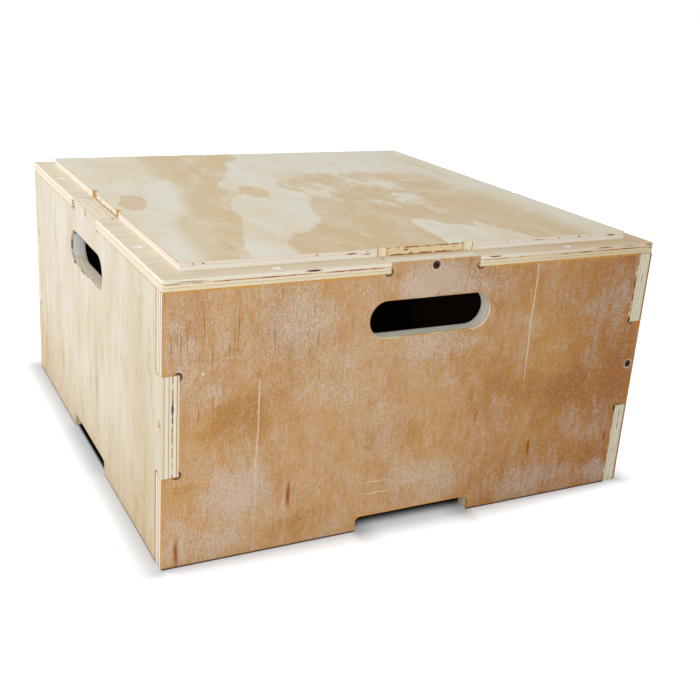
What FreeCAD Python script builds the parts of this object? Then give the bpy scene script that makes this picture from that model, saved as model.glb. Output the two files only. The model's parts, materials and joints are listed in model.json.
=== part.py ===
import FreeCAD, Part
import math
import os

import Sketcher

# A stackable plywood plyo box: four routed walls, joined by fingers at the corners, carry a deck
# whose notches take the walls' top tabs. A raised board on the deck locates the box stacked above.
# The box stands on the floor with its base centre at the origin, its front at -Y and +Z up.

# Driving dimensions in millimetres; a name ending in share is a part of the size it follows.
SIZES = {
    # boards
    "box_side": 600,
    "wall_height": 300,
    "wall_ply": 18,
    "wall_corner_radius": 3,
    "deck_ply": 12,
    "deck_overhang": 0.5,
    "deck_corner_radius": 4,
    "deck_arris": 1,
    "top_ply": 9,
    "top_corner_radius": 2.5,
    "top_arris": 1,
    "top_recess": 1,
    "stacking_clearance": 6,
    # routed joints of the walls
    "finger_length": 110,
    "finger_low_share": 0.35,
    "finger_clearance": 0.2,
    "tab_width": 110,
    "tab_clearance": 0.3,
    "relief_radius": 5,
    "relief_inset": 2,
    # openings of the walls
    "slot_length": 150,
    "slot_height": 41,
    "slot_drop": 50,
    "slot_arris": 1.5,
    "notch_width": 150,
    "notch_height": 18,
    "notch_radius": 6,
    # screws through the boards
    "screw_diameter": 4,
    "screw_head": 8,
    "screw_head_rim": 0.4,
    "screw_head_sink": 0.6,
    "screw_point": 6,
    "screw_clearance": 0.1,
    "tip_clearance": 1,
    "drive_span": 4.4,
    "drive_width": 1.2,
    "drive_depth": 1.6,
    "corner_screw_length": 50,
    "tab_screw_length": 50,
    "rim_screw_length": 40,
    "rim_screw_spread_share": 0.6,
    "rim_screw_setback": 11,
    "board_screw_length": 18,
    "board_screw_spread_share": 0.8,
    # how far a cut runs past the face it leaves
    "cut_overrun": 2,
}

COUNTERSINK_ANGLE = 90
FULL_TURN = 360
QUARTER_TURN = 90

# Two places closer than this share of the box's side count as one.
MATCH_SHARE = 1e-6

# The four sides, anticlockwise from above; each is the front one turned by quarter turns.
SIDES = ("front", "right", "back", "left")

# Sizes that follow from the driving dimensions, as expressions
half_side = "(sizes.box_side / 2)"
half_tab = "(sizes.tab_width / 2)"
half_notch = "(sizes.notch_width / 2)"
wall_edge = f"({half_side} - sizes.wall_ply)"
tab_top = "(sizes.wall_height + sizes.deck_ply)"
slot_middle = "(sizes.wall_height - sizes.slot_drop)"
slot_end_radius = "(sizes.slot_height / 2)"
slot_reach = f"(sizes.slot_length / 2 - {slot_end_radius})"

finger_notch_low = "(sizes.wall_height * sizes.finger_low_share)"
finger_notch_high = f"({finger_notch_low} + sizes.finger_length)"
finger_low = f"({finger_notch_low} + sizes.finger_clearance)"
finger_high = f"({finger_notch_high} - sizes.finger_clearance)"
finger_middle = f"({finger_notch_low} + sizes.finger_length / 2)"

half_deck = f"({half_side} + sizes.deck_overhang)"
half_top = f"({wall_edge} - sizes.stacking_clearance)"
half_tab_notch = f"({half_tab} + sizes.tab_clearance)"
deck_notch_back = f"({wall_edge} - sizes.tab_clearance)"
top_recess_back = f"({half_top} - sizes.top_recess)"

rim_screw_along = "(sizes.box_side / 2 * sizes.rim_screw_spread_share)"
rim_screw_across = f"({half_side} - sizes.rim_screw_setback)"
board_screw_along = f"({half_top} * sizes.board_screw_spread_share)"

screw_bore = "(sizes.screw_diameter + 2 * sizes.screw_clearance)"
bore_radius = f"({screw_bore} / 2)"
sunk_depth = "(sizes.screw_head_sink + sizes.screw_head_rim + sizes.screw_clearance)"
sink_diameter = f"(sizes.screw_head + 2 * {sunk_depth})"
below_face = "(sizes.screw_head_sink + sizes.tip_clearance)"
corner_bore_depth = f"(sizes.corner_screw_length + {below_face} - sizes.wall_ply)"
rim_bore_depth = f"(sizes.rim_screw_length + {below_face} - sizes.deck_ply)"
board_bore_depth = f"(sizes.board_screw_length + {below_face} - sizes.deck_ply)"
tab_bore_depth = f"(sizes.tab_screw_length + {below_face} - ({half_side} - {deck_notch_back}))"

doc = FreeCAD.newDocument("plyo_box")


def fill_sheet():
    sheet = doc.addObject("Spreadsheet::Sheet", "sizes")
    for row, (name, size) in enumerate(SIZES.items(), start=1):
        sheet.set(f"A{row}", name)
        sheet.set(f"B{row}", str(size))
        sheet.setAlias(f"B{row}", name)
    doc.recompute()


def new_body(label):
    body = doc.addObject("PartDesign::Body", label)
    body.Label = label
    return body


def value_of(obj, expression):
    return float(obj.evalExpression(expression))


def same(first, second):
    return abs(first - second) < MATCH_SHARE * SIZES["box_side"]


def place(body, quarter, along, across, height, lay=FreeCAD.Rotation()):
    # A place on the front side, turned with its piece by quarter turns to the side it is for
    turn = FreeCAD.Rotation(FreeCAD.Vector(0, 0, 1), QUARTER_TURN * quarter)
    cos, sin = ((1, 0), (0, 1), (-1, 0), (0, -1))[quarter]
    body.Placement = FreeCAD.Placement(FreeCAD.Vector(), turn * lay)
    body.setExpression("Placement.Base.x", f"{cos} * ({along}) - {sin} * ({across})")
    body.setExpression("Placement.Base.y", f"{sin} * ({along}) + {cos} * ({across})")
    body.setExpression("Placement.Base.z", height)


# Sketches


def new_sketch(body, name, plane, offset=None):
    sketch = body.newObject("Sketcher::SketchObject", name)
    base = next(f for f in body.Origin.OriginFeatures if f.Role == plane)
    sketch.AttachmentSupport = [(base, "")]
    sketch.MapMode = "FlatFace"
    if offset:
        sketch.setExpression("AttachmentOffset.Base.z", offset)
    return sketch


def pin_down(sketch, curve, end, point, name):
    # Ties one end of a curve to its distances from the sketch's origin
    for axis, expression in zip("XY", point):
        value = value_of(sketch, expression)
        index = sketch.addConstraint(Sketcher.Constraint(f"Distance{axis}", -1, 1, curve, end, value))
        sketch.renameConstraint(index, f"{name}_{axis.lower()}")
        sketch.setExpression(f"Constraints.{name}_{axis.lower()}", expression)


def vector_of(sketch, point):
    return FreeCAD.Vector(value_of(sketch, point[0]), value_of(sketch, point[1]), 0)


def draw_outline(sketch, points):
    corners = [vector_of(sketch, point) for point in points]
    for index, corner in enumerate(corners):
        following = corners[(index + 1) % len(corners)]
        sketch.addGeometry(Part.LineSegment(corner, following), False)
    for index, point in enumerate(points):
        previous = (index - 1) % len(points)
        sketch.addConstraint(Sketcher.Constraint("Coincident", previous, 2, index, 1))
        pin_down(sketch, index, 1, point, f"corner{index}")
    return sketch


def draw_circles(sketch, centres, radius):
    normal = FreeCAD.Vector(0, 0, 1)
    for index, centre in enumerate(centres):
        size = value_of(sketch, radius)
        sketch.addGeometry(Part.Circle(vector_of(sketch, centre), normal, size), False)
        pin_down(sketch, index, 3, centre, f"centre{index}")
        constraint = sketch.addConstraint(Sketcher.Constraint("Radius", index, size))
        sketch.renameConstraint(constraint, f"radius{index}")
        sketch.setExpression(f"Constraints.radius{index}", radius)
    return sketch


def draw_stadium(sketch, middle, reach, radius):
    # Two level lines joined by half circles: lines 0 and 1 run right and left, arcs 2 and 3 close them
    normal = FreeCAD.Vector(0, 0, 1)
    quarter = math.radians(QUARTER_TURN)
    size = value_of(sketch, radius)
    down = FreeCAD.Vector(0, -size, 0)
    ends = [(f"-{reach}", middle), (reach, middle)]
    left, right = (vector_of(sketch, end) for end in ends)
    sketch.addGeometry(Part.LineSegment(left + down, right + down), False)
    sketch.addGeometry(Part.LineSegment(right - down, left - down), False)
    sketch.addGeometry(Part.ArcOfCircle(Part.Circle(right, normal, size), -quarter, quarter), False)
    sketch.addGeometry(Part.ArcOfCircle(Part.Circle(left, normal, size), quarter, 3 * quarter), False)
    for first, second in ((0, 2), (2, 1), (1, 3), (3, 0)):
        sketch.addConstraint(Sketcher.Constraint("Tangent", first, 2, second, 1))
    pin_down(sketch, 2, 3, ends[1], "right_end")
    pin_down(sketch, 3, 3, ends[0], "left_end")
    constraint = sketch.addConstraint(Sketcher.Constraint("Radius", 2, size))
    sketch.renameConstraint(constraint, "end_radius")
    sketch.setExpression("Constraints.end_radius", radius)
    return sketch


def rectangle(half_width, low, high):
    return [
        (f"-{half_width}", low),
        (half_width, low),
        (half_width, high),
        (f"-{half_width}", high),
    ]


# Features


def pad(body, sketch, length, reversed_way=False):
    feature = body.newObject("PartDesign::Pad", f"{sketch.Name}_pad")
    feature.Profile = sketch
    feature.Reversed = reversed_way
    feature.setExpression("Length", length)
    doc.recompute()
    return feature


def cut_counts(body, feature, before):
    doc.recompute()
    if body.Shape.Volume >= before:
        raise RuntimeError(f"{feature.Label} of {body.Label} cuts nothing")
    return feature


def pocket(body, sketch, depth=None, reversed_way=False):
    before = body.Shape.Volume
    feature = body.newObject("PartDesign::Pocket", f"{sketch.Name}_pocket")
    feature.Profile = sketch
    feature.Reversed = reversed_way
    if depth:
        feature.setExpression("Length", depth)
    else:
        feature.Type = "ThroughAll"
    return cut_counts(body, feature, before)


def sunk_hole(body, sketch, reversed_way=False):
    # A clearance bore through the board, countersunk so that the screw's head lies below the face
    before = body.Shape.Volume
    doc.recompute()
    hole = body.newObject("PartDesign::Hole", f"{sketch.Name}_hole")
    hole.Profile = sketch
    hole.Reversed = reversed_way
    hole.DepthType = "ThroughAll"
    hole.setExpression("Diameter", screw_bore)
    hole.HoleCutType = "Countersink"
    hole.HoleCutCustomValues = True
    hole.HoleCutCountersinkAngle = COUNTERSINK_ANGLE
    hole.setExpression("HoleCutDiameter", sink_diameter)
    return cut_counts(body, hole, before)


def round_edges(body, base, name, radius, wanted):
    edges = [f"Edge{i}" for i, edge in enumerate(base.Shape.Edges, start=1) if wanted(edge)]
    feature = body.newObject("PartDesign::Fillet", name)
    feature.Base = (base, edges)
    feature.setExpression("Radius", radius)
    doc.recompute()
    return feature


def around(body, features):
    # Repeats the front side's features on the other three sides
    before = body.Shape.Volume
    pattern = body.newObject("PartDesign::PolarPattern", f"{body.Name}_sides")
    pattern.Originals = features
    upright = next(f for f in body.Origin.OriginFeatures if f.Role == "Z_Axis")
    pattern.Axis = (upright, [""])
    pattern.Angle = FULL_TURN
    pattern.Occurrences = len(SIDES)
    body.Tip = pattern
    return cut_counts(body, pattern, before)


def upright_edge(edge):
    return same(edge.BoundBox.XLength, 0) and same(edge.BoundBox.YLength, 0)


# Walls: local x runs along the wall as seen from outside, y goes inwards from its outer face


def make_wall(label, quarter):
    body = new_body(label)
    outline = [
        (f"-{half_side}", "0"),
        (f"-{half_notch}", "0"),
        (f"-{half_notch}", "sizes.notch_height"),
        (half_notch, "sizes.notch_height"),
        (half_notch, "0"),
        (wall_edge, "0"),
        (wall_edge, finger_low),
        (half_side, finger_low),
        (half_side, finger_high),
        (wall_edge, finger_high),
        (wall_edge, "sizes.wall_height"),
        (half_tab, "sizes.wall_height"),
        (half_tab, tab_top),
        (f"-{half_tab}", tab_top),
        (f"-{half_tab}", "sizes.wall_height"),
        (f"-{half_side}", "sizes.wall_height"),
        (f"-{half_side}", finger_notch_high),
        (f"-{wall_edge}", finger_notch_high),
        (f"-{wall_edge}", finger_notch_low),
        (f"-{half_side}", finger_notch_low),
    ]
    sketch = draw_outline(new_sketch(body, f"{label}_outline", "XZ_Plane"), outline)
    blank = pad(body, sketch, "sizes.wall_ply", reversed_way=True)
    ease_outline(body, blank)
    cut_slot(body)
    cut_wall_reliefs(body)
    drill_wall(body)
    place(body, quarter, "0", f"-{half_side}", "0")
    return body


def ease_outline(body, blank):
    # The floor notch's two upper corners and the two corners of the wall's free end are rounded
    notch_reach = value_of(body, half_notch)
    notch_top = value_of(body, "sizes.notch_height")
    free_end = value_of(body, f"-{half_side}")
    end_levels = (0, value_of(body, "sizes.wall_height"))

    def at_corner(edge, along, level):
        box = edge.BoundBox
        runs_across = same(box.XLength, 0) and same(box.ZLength, 0)
        return runs_across and same(box.XMax, along) and same(box.ZMin, level)

    def notch_corner(edge):
        return any(at_corner(edge, way * notch_reach, notch_top) for way in (-1, 1))

    def end_corner(edge):
        return any(at_corner(edge, free_end, level) for level in end_levels)

    notch = round_edges(body, blank, f"{body.Name}_notch_corners", "sizes.notch_radius", notch_corner)
    round_edges(body, notch, f"{body.Name}_end_corners", "sizes.wall_corner_radius", end_corner)


def cut_slot(body):
    sketch = new_sketch(body, f"{body.Name}_slot", "XZ_Plane")
    slot = pocket(body, draw_stadium(sketch, slot_middle, slot_reach, slot_end_radius))
    reach = value_of(body, slot_reach)
    radius = value_of(body, slot_end_radius)
    middle = value_of(body, slot_middle)

    def slot_rim(edge):
        # Each rim edge, line or arc, lies one end radius from the slot's middle line
        ends = [vertex.Point for vertex in edge.Vertexes]
        on_face = same(edge.BoundBox.YLength, 0)
        return on_face and all(same(abs(end.z - middle), radius) and same(abs(end.x), reach) for end in ends)

    round_edges(body, slot, f"{body.Name}_slot_rims", "sizes.slot_arris", slot_rim)


def cut_wall_reliefs(body):
    # The router leaves round reliefs where a square inner corner has to seat
    sketch = new_sketch(body, f"{body.Name}_reliefs", "XZ_Plane")
    notch_side = f"(-{wall_edge} - sizes.relief_inset)"
    finger_side = f"({wall_edge} + sizes.relief_inset)"
    tab_side = f"({half_tab} + sizes.relief_inset)"
    tab_foot = "(sizes.wall_height + sizes.relief_inset)"
    centres = [
        (notch_side, f"{finger_notch_low} + sizes.relief_inset"),
        (notch_side, f"{finger_notch_high} - sizes.relief_inset"),
        (finger_side, f"{finger_low} - sizes.relief_inset"),
        (finger_side, f"{finger_high} + sizes.relief_inset"),
        (tab_side, tab_foot),
        (f"-{tab_side}", tab_foot),
    ]
    pocket(body, draw_circles(sketch, centres, "sizes.relief_radius"))


def drill_wall(body):
    faces = new_sketch(body, f"{body.Name}_face_bores", "XZ_Plane")
    finger_place = (f"{half_side} - sizes.wall_ply / 2", finger_middle)
    tab_place = ("0", "sizes.wall_height + sizes.deck_ply / 2")
    sunk_hole(body, draw_circles(faces, [finger_place, tab_place], bore_radius))

    edge = new_sketch(body, f"{body.Name}_edge_bore", "YZ_Plane", f"-{wall_edge}")
    edge_place = ("sizes.wall_ply / 2", finger_middle)
    pocket(body, draw_circles(edge, [edge_place], bore_radius), corner_bore_depth, reversed_way=True)

    top = new_sketch(body, f"{body.Name}_top_bores", "XY_Plane", "sizes.wall_height")
    top_places = [(way + rim_screw_along, "sizes.rim_screw_setback") for way in ("", "-")]
    pocket(body, draw_circles(top, top_places, bore_radius), rim_bore_depth)


# Boards: local z runs up from the board's underside


def square_board(label, half_width, thickness, corner_radius, arris, arris_faces):
    body = new_body(label)
    sketch = new_sketch(body, f"{label}_outline", "XY_Plane")
    blank = pad(body, draw_outline(sketch, rectangle(half_width, f"-{half_width}", half_width)), thickness)
    corners = round_edges(body, blank, f"{label}_corners", corner_radius, upright_edge)
    levels = [value_of(body, level) for level in arris_faces]

    def on_arris(edge):
        box = edge.BoundBox
        return any(same(box.ZMin, level) and same(box.ZMax, level) for level in levels)

    round_edges(body, corners, f"{label}_arrises", arris, on_arris)
    return body


def cut_tab_notch(body, half_width, back):
    # The deck's notch takes a wall's tab; the raised board has a shallow one, a little further in
    notch = new_sketch(body, f"{body.Name}_tab_notch", "XY_Plane")
    mouth = f"(-{half_width} - sizes.cut_overrun)"
    outline = rectangle(half_tab_notch, mouth, f"-{back}")
    reliefs = new_sketch(body, f"{body.Name}_tab_reliefs", "XY_Plane")
    side = f"({half_tab_notch} - sizes.relief_inset)"
    centres = [(way + side, f"-{back} - sizes.relief_inset") for way in ("", "-")]
    return [
        pocket(body, draw_outline(notch, outline), reversed_way=True),
        pocket(body, draw_circles(reliefs, centres, "sizes.relief_radius"), reversed_way=True),
    ]


def board_screw_places():
    ways = ("", "-")
    corners = [(x + board_screw_along, y + board_screw_along) for x in ways for y in ways]
    return [("0", "0")] + corners


def make_deck():
    body = square_board(
        "deck", half_deck, "sizes.deck_ply", "sizes.deck_corner_radius", "sizes.deck_arris",
        ("0", "sizes.deck_ply"),
    )
    repeated = cut_tab_notch(body, half_deck, deck_notch_back)

    rim = new_sketch(body, "deck_rim_bores", "XY_Plane", "sizes.deck_ply")
    rim_places = [(way + rim_screw_along, f"-{rim_screw_across}") for way in ("", "-")]
    repeated.append(sunk_hole(body, draw_circles(rim, rim_places, bore_radius)))

    edge = new_sketch(body, "deck_edge_bore", "XZ_Plane", deck_notch_back)
    edge_place = ("0", "sizes.deck_ply / 2")
    repeated.append(pocket(body, draw_circles(edge, [edge_place], bore_radius), tab_bore_depth))
    around(body, repeated)

    under = new_sketch(body, "deck_board_bores", "XY_Plane")
    sunk_hole(body, draw_circles(under, board_screw_places(), bore_radius), reversed_way=True)
    place(body, 0, "0", "0", "sizes.wall_height")
    return body


def make_top_board():
    body = square_board(
        "top_board", half_top, "sizes.top_ply", "sizes.top_corner_radius", "sizes.top_arris",
        ("sizes.top_ply",),
    )
    around(body, cut_tab_notch(body, half_top, top_recess_back))
    under = new_sketch(body, "top_board_bores", "XY_Plane")
    circles = draw_circles(under, board_screw_places(), bore_radius)
    pocket(body, circles, board_bore_depth, reversed_way=True)
    place(body, 0, "0", "0", tab_top)
    return body


# Screws: local z runs along the screw, with the head's top at zero and the point below


def make_screw(label, length):
    body = new_body(label)
    shank = "(sizes.screw_diameter / 2)"
    head = "(sizes.screw_head / 2)"
    profile = [
        ("0", "0"),
        (head, "0"),
        (head, "-sizes.screw_head_rim"),
        (shank, f"-sizes.screw_head_rim - ({head} - {shank})"),
        (shank, f"-({length} - sizes.screw_point)"),
        ("0", f"-{length}"),
    ]
    sketch = draw_outline(new_sketch(body, f"{label}_profile", "XZ_Plane"), profile)
    turned = body.newObject("PartDesign::Revolution", f"{label}_turned")
    turned.Profile = sketch
    turned.ReferenceAxis = (sketch, ["V_Axis"])
    turned.Angle = FULL_TURN
    doc.recompute()
    cut_drive(body)
    return body


def cut_drive(body):
    # The cross recess in the head
    span = "(sizes.drive_span / 2)"
    width = "(sizes.drive_width / 2)"
    arm = [(span, f"-{width}"), (span, width), (width, width), (width, span)]
    far = [(f"-{width}", span), (f"-{width}", width), (f"-{span}", width), (f"-{span}", f"-{width}")]
    near = [(f"-{width}", f"-{width}"), (f"-{width}", f"-{span}"), (width, f"-{span}"), (width, f"-{width}")]
    sketch = new_sketch(body, f"{body.Name}_drive", "XY_Plane")
    pocket(body, draw_outline(sketch, arm + far + near), "sizes.drive_depth")


def make_screws():
    outwards = FreeCAD.Rotation(FreeCAD.Vector(1, 0, 0), QUARTER_TURN)
    downwards = FreeCAD.Rotation(FreeCAD.Vector(1, 0, 0), 2 * QUARTER_TURN)
    face = f"-{half_side} + sizes.screw_head_sink"
    rim_face = f"{tab_top} - sizes.screw_head_sink"
    screws = []
    for quarter, side in enumerate(SIDES):
        corner = make_screw(f"{side}_corner_screw", "sizes.corner_screw_length")
        place(corner, quarter, f"{half_side} - sizes.wall_ply / 2", face, finger_middle, outwards)
        tab = make_screw(f"{side}_tab_screw", "sizes.tab_screw_length")
        place(tab, quarter, "0", face, "sizes.wall_height + sizes.deck_ply / 2", outwards)
        screws += [corner, tab]
        for hand, way in (("left", "-"), ("right", "")):
            rim = make_screw(f"{side}_rim_screw_{hand}", "sizes.rim_screw_length")
            place(rim, quarter, way + rim_screw_along, f"-{rim_screw_across}", rim_face)
            screws.append(rim)
    for number, (along, across) in enumerate(board_screw_places(), start=1):
        board = make_screw(f"board_screw_{number}", "sizes.board_screw_length")
        place(board, 0, along, across, "sizes.wall_height + sizes.screw_head_sink", downwards)
        screws.append(board)
    return screws


def check_document():
    for obj in doc.Objects:
        if "Invalid" in obj.State or "Error" in obj.State:
            raise RuntimeError(f"{obj.Label} failed: {obj.State}")


def write_parts(pieces):
    for piece in pieces:
        if piece.Shape.isNull() or not piece.Shape.isValid() or len(piece.Shape.Solids) != 1:
            raise RuntimeError(f"{piece.Label} is no single valid solid")
    os.makedirs("parts", exist_ok=True)
    for piece in pieces:
        piece.Shape.exportStep(f"parts/{piece.Label}.step")
        print(piece.Label, round(piece.Shape.Volume), "cubic millimetres")


fill_sheet()
pieces = [make_wall(f"{side}_panel", quarter) for quarter, side in enumerate(SIDES)]
pieces += [make_deck(), make_top_board()]
pieces += make_screws()
doc.recompute()
check_document()
write_parts(pieces)
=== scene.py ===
import json
import math

import bpy
from mathutils import Matrix, Vector


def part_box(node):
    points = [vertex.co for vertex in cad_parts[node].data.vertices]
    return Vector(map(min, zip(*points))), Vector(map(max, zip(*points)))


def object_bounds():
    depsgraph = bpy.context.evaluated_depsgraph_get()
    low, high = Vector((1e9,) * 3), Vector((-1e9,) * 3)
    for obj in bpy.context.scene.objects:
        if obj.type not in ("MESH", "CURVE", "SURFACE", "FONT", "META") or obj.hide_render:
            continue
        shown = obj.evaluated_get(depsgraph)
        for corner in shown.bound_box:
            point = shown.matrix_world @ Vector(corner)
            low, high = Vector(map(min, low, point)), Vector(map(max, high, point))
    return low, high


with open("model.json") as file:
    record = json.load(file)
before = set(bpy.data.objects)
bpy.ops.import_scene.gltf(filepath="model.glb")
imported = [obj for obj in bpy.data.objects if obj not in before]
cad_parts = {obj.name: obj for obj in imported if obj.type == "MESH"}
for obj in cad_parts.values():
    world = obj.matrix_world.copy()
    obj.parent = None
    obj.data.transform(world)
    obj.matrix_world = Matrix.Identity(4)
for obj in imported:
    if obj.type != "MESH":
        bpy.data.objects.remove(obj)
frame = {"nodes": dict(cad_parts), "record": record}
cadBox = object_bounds()
scene = bpy.context.scene
scene.view_settings.view_transform = "Standard"
print("frame loaded:", len(frame["nodes"]), "nodes")

millimetre = 0.001  # the scene is in metres, the boards are measured in millimetres


# shader helpers

drawing = {"tree": None}  # the node tree that they add to


def paint(colour):
    # a colour picked in screen values, as the linear colour that a shader takes
    linear = []
    for share in (part / 255 for part in colour):
        linear.append(share / 12.92 if share <= 0.04045 else ((share + 0.055) / 1.055) ** 2.4)
    return (*linear, 1.0)


def addNode(kind, **settings):
    made = drawing["tree"].nodes.new(kind)
    for name, value in settings.items():
        setattr(made, name, value)
    return made


def feed(socket, value):
    # a socket takes another node's output or a plain value
    if isinstance(value, bpy.types.NodeSocket):
        drawing["tree"].links.new(value, socket)
    else:
        socket.default_value = value


def sums(operation, *values):
    made = addNode("ShaderNodeMath", operation=operation)
    for socket, value in zip(made.inputs, values):
        feed(socket, value)
    return made.outputs[0]


def scaleAdd(value, factor, plus):
    return sums("MULTIPLY_ADD", value, factor, plus)


def minus(value, taken):
    return sums("SUBTRACT", value, taken)


def absolute(value):
    return sums("ABSOLUTE", value)


def inTurn(operation, values):
    result = values[0]
    for value in values[1:]:
        result = sums(operation, result, value)
    return result


def times(*values):
    # the product of several masks
    return inTurn("MULTIPLY", values)


def largest(*values):
    return inTurn("MAXIMUM", values)


def vectors(operation, *values):
    made = addNode("ShaderNodeVectorMath", operation=operation)
    for socket, value in zip(made.inputs, values):
        feed(socket, value)
    return made.outputs["Value" if operation == "LENGTH" else "Vector"]


def parts(vector):
    made = addNode("ShaderNodeSeparateXYZ")
    feed(made.inputs[0], vector)
    return made.outputs


def fade(value, low, high):
    # 0 below low, 1 above high, smooth between; the other way round if low is the larger
    made = addNode("ShaderNodeMapRange", interpolation_type="SMOOTHSTEP")
    for socket, given in zip(made.inputs, (value, low, high)):
        feed(socket, given)
    return made.outputs[0]


def tint(share, under, over):
    # lays one colour over another; a colour is in screen values or comes from another node
    made = addNode("ShaderNodeMix", data_type="RGBA", clamp_factor=True)
    for index, given in ((0, share), (6, under), (7, over)):
        feed(made.inputs[index], paint(given) if isinstance(given, tuple) else given)
    return made.outputs[2]


def grainNode(place, size, detail, rough, seed):
    # noise whose features are about size millimetres long each way
    shift = (seed, seed * 1.3, seed * 2.1)
    scaled = vectors("MULTIPLY_ADD", place, tuple(1 / s for s in size), shift)
    made = addNode("ShaderNodeTexNoise")
    made.inputs["Scale"].default_value = 1.0
    made.inputs["Detail"].default_value = detail
    made.inputs["Roughness"].default_value = rough
    feed(made.inputs["Vector"], scaled)
    return made


def grain(place, size, detail, rough, seed):
    return grainNode(place, size, detail, rough, seed).outputs[0]


def grains(place, table, seed):
    # every noise of a table, in its order: millimetres each way, detail, roughness and own seed
    made = []
    for size, detail, rough, step in table.values():
        made.append(grain(place, size, detail, rough, seed + step))
    return made


def stir(place, size, amount, seed):
    # pushes a place about by up to half of amount each way
    noise = grainNode(place, size, 3.0, 0.6, seed).outputs[1]
    centred = vectors("SUBTRACT", noise, (0.5, 0.5, 0.5))
    return vectors("MULTIPLY_ADD", centred, amount, place)


def spots(place, marks, axes=(0, 2)):
    # soft ellipses: each mark is two places, two radii and a strength; the third axis is left out
    total = 0.0
    for first, second, firstRadius, secondRadius, strength in marks:
        scale = [0.0, 0.0, 0.0]
        shift = [0.0, 0.0, 0.0]
        for axis, middle, radius in zip(axes, (first, second), (firstRadius, secondRadius)):
            scale[axis] = 1 / radius
            shift[axis] = -middle / radius
        away = vectors("LENGTH", vectors("MULTIPLY_ADD", place, tuple(scale), tuple(shift)))
        total = scaleAdd(fade(away, 1.0, 0.0), strength, total)
    return total


def ramp(value, stops):
    # plies one after another: each stop is where a layer starts, and its colour
    made = addNode("ShaderNodeValToRGB")
    made.color_ramp.interpolation = "CONSTANT"
    points = made.color_ramp.elements
    while len(points) < len(stops):
        points.new(0.5)
    for point, (start, colour) in zip(points, stops):
        point.position = start
        point.color = paint(colour)
    feed(made.inputs[0], value)
    return made.outputs[0]


def bound(value, points, low, high):
    # a drawn outline: points are (place, reach), both between low and high
    made = addNode("ShaderNodeFloatCurve")
    curve = made.mapping.curves[0]
    shares = [tuple((part - low) / (high - low) for part in point) for point in sorted(points)]
    for place, reach in shares[1:-1]:
        curve.points.new(place, reach)
    curve.points[0].location = shares[0]
    curve.points[len(curve.points) - 1].location = shares[-1]
    made.mapping.update()
    span = scaleAdd(value, 1 / (high - low), -low / (high - low))
    feed(made.inputs["Value"], span)
    return scaleAdd(made.outputs[0], high - low, low)


def newMaterial(name):
    # the helpers add to this material until another one is made
    made = bpy.data.materials.new(name)
    made.use_nodes = True
    drawing["tree"] = made.node_tree
    return made, made.node_tree.nodes["Principled BSDF"]


def millimetrePlace(quarter=0):
    # the place on the part in millimetres, turned so that every wall reads as the front one
    place = addNode("ShaderNodeTexCoord").outputs["Object"]
    normal = addNode("ShaderNodeNewGeometry").outputs["True Normal"]
    scaled = vectors("MULTIPLY", place, (1 / millimetre,) * 3)
    if quarter == 0:
        return scaled, normal
    turned = []
    for vector in (scaled, normal):
        made = addNode("ShaderNodeVectorRotate", rotation_type="Z_AXIS")
        made.inputs["Angle"].default_value = -quarter * math.pi / 2
        feed(made.inputs["Vector"], vector)
        turned.append(made.outputs[0])
    return turned


def looksAlong(normal, axis):
    # 1 on the faces that look along an axis, either way, and 0 on the others
    return fade(absolute(parts(normal)[axis]), 0.80, 0.92)


def between(share, low, high):
    made = addNode("ShaderNodeMix", data_type="FLOAT", clamp_factor=True)
    for index, given in ((0, share), (2, low), (3, high)):
        feed(made.inputs[index], given)
    return made.outputs[0]


surface = {"specular": 0.25, "bumpStrength": 0.6}


def dress(shader, colour, rough, bumpHeight, bumpDepth):
    # bumpDepth is in millimetres
    feed(shader.inputs["Base Color"], colour)
    feed(shader.inputs["Roughness"], rough)
    shader.inputs["Specular IOR Level"].default_value = surface["specular"]
    bump = addNode("ShaderNodeBump")
    bump.inputs["Strength"].default_value = surface["bumpStrength"]
    bump.inputs["Distance"].default_value = bumpDepth * millimetre
    feed(bump.inputs["Height"], bumpHeight)
    feed(shader.inputs["Normal"], bump.outputs[0])


# plies on the boards' edges

paleWallPlies = {
    "layers": [  # share of the board from its outer face, and the ply's colour
        (0.000, (240, 227, 199)), (0.120, (208, 166, 108)), (0.170, (248, 238, 216)),
        (0.390, (204, 162, 108)), (0.440, (248, 238, 216)), (0.585, (192, 128, 84)),
        (0.660, (249, 240, 220)), (0.840, (198, 150, 90)), (0.900, (242, 228, 198)),
    ],
    "gapBand": (0.56, 0.68),  # the layer that has gaps in it, and its tones from closed to open
    "gapTones": [
        (0.00, (238, 214, 182)), (0.46, (206, 152, 110)), (0.58, (166, 104, 70)), (0.68, (96, 54, 36)),
    ],
    "gapSize": 15,
    "thread": (11, 0.8, 11),  # streaks are thin through the board and long the other ways
    "wobble": 0.03,
    "stain": (176, 134, 80),
}

brownWallPlies = {
    "layers": [
        (0.000, (178, 124, 68)), (0.150, (232, 228, 204)), (0.270, (208, 186, 142)),
        (0.310, (236, 230, 208)), (0.500, (200, 172, 126)), (0.560, (238, 233, 212)),
        (0.740, (206, 182, 138)), (0.800, (236, 230, 206)), (0.930, (204, 172, 118)),
    ],
    "gapBand": (0.48, 0.60),
    "gapTones": [
        (0.00, (228, 208, 172)), (0.50, (194, 158, 108)), (0.60, (140, 98, 56)), (0.70, (62, 38, 24)),
    ],
    "gapSize": 15,
    "thread": (11, 0.8, 11),
    "wobble": 0.02,
    "stain": (176, 140, 88),
}

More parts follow.
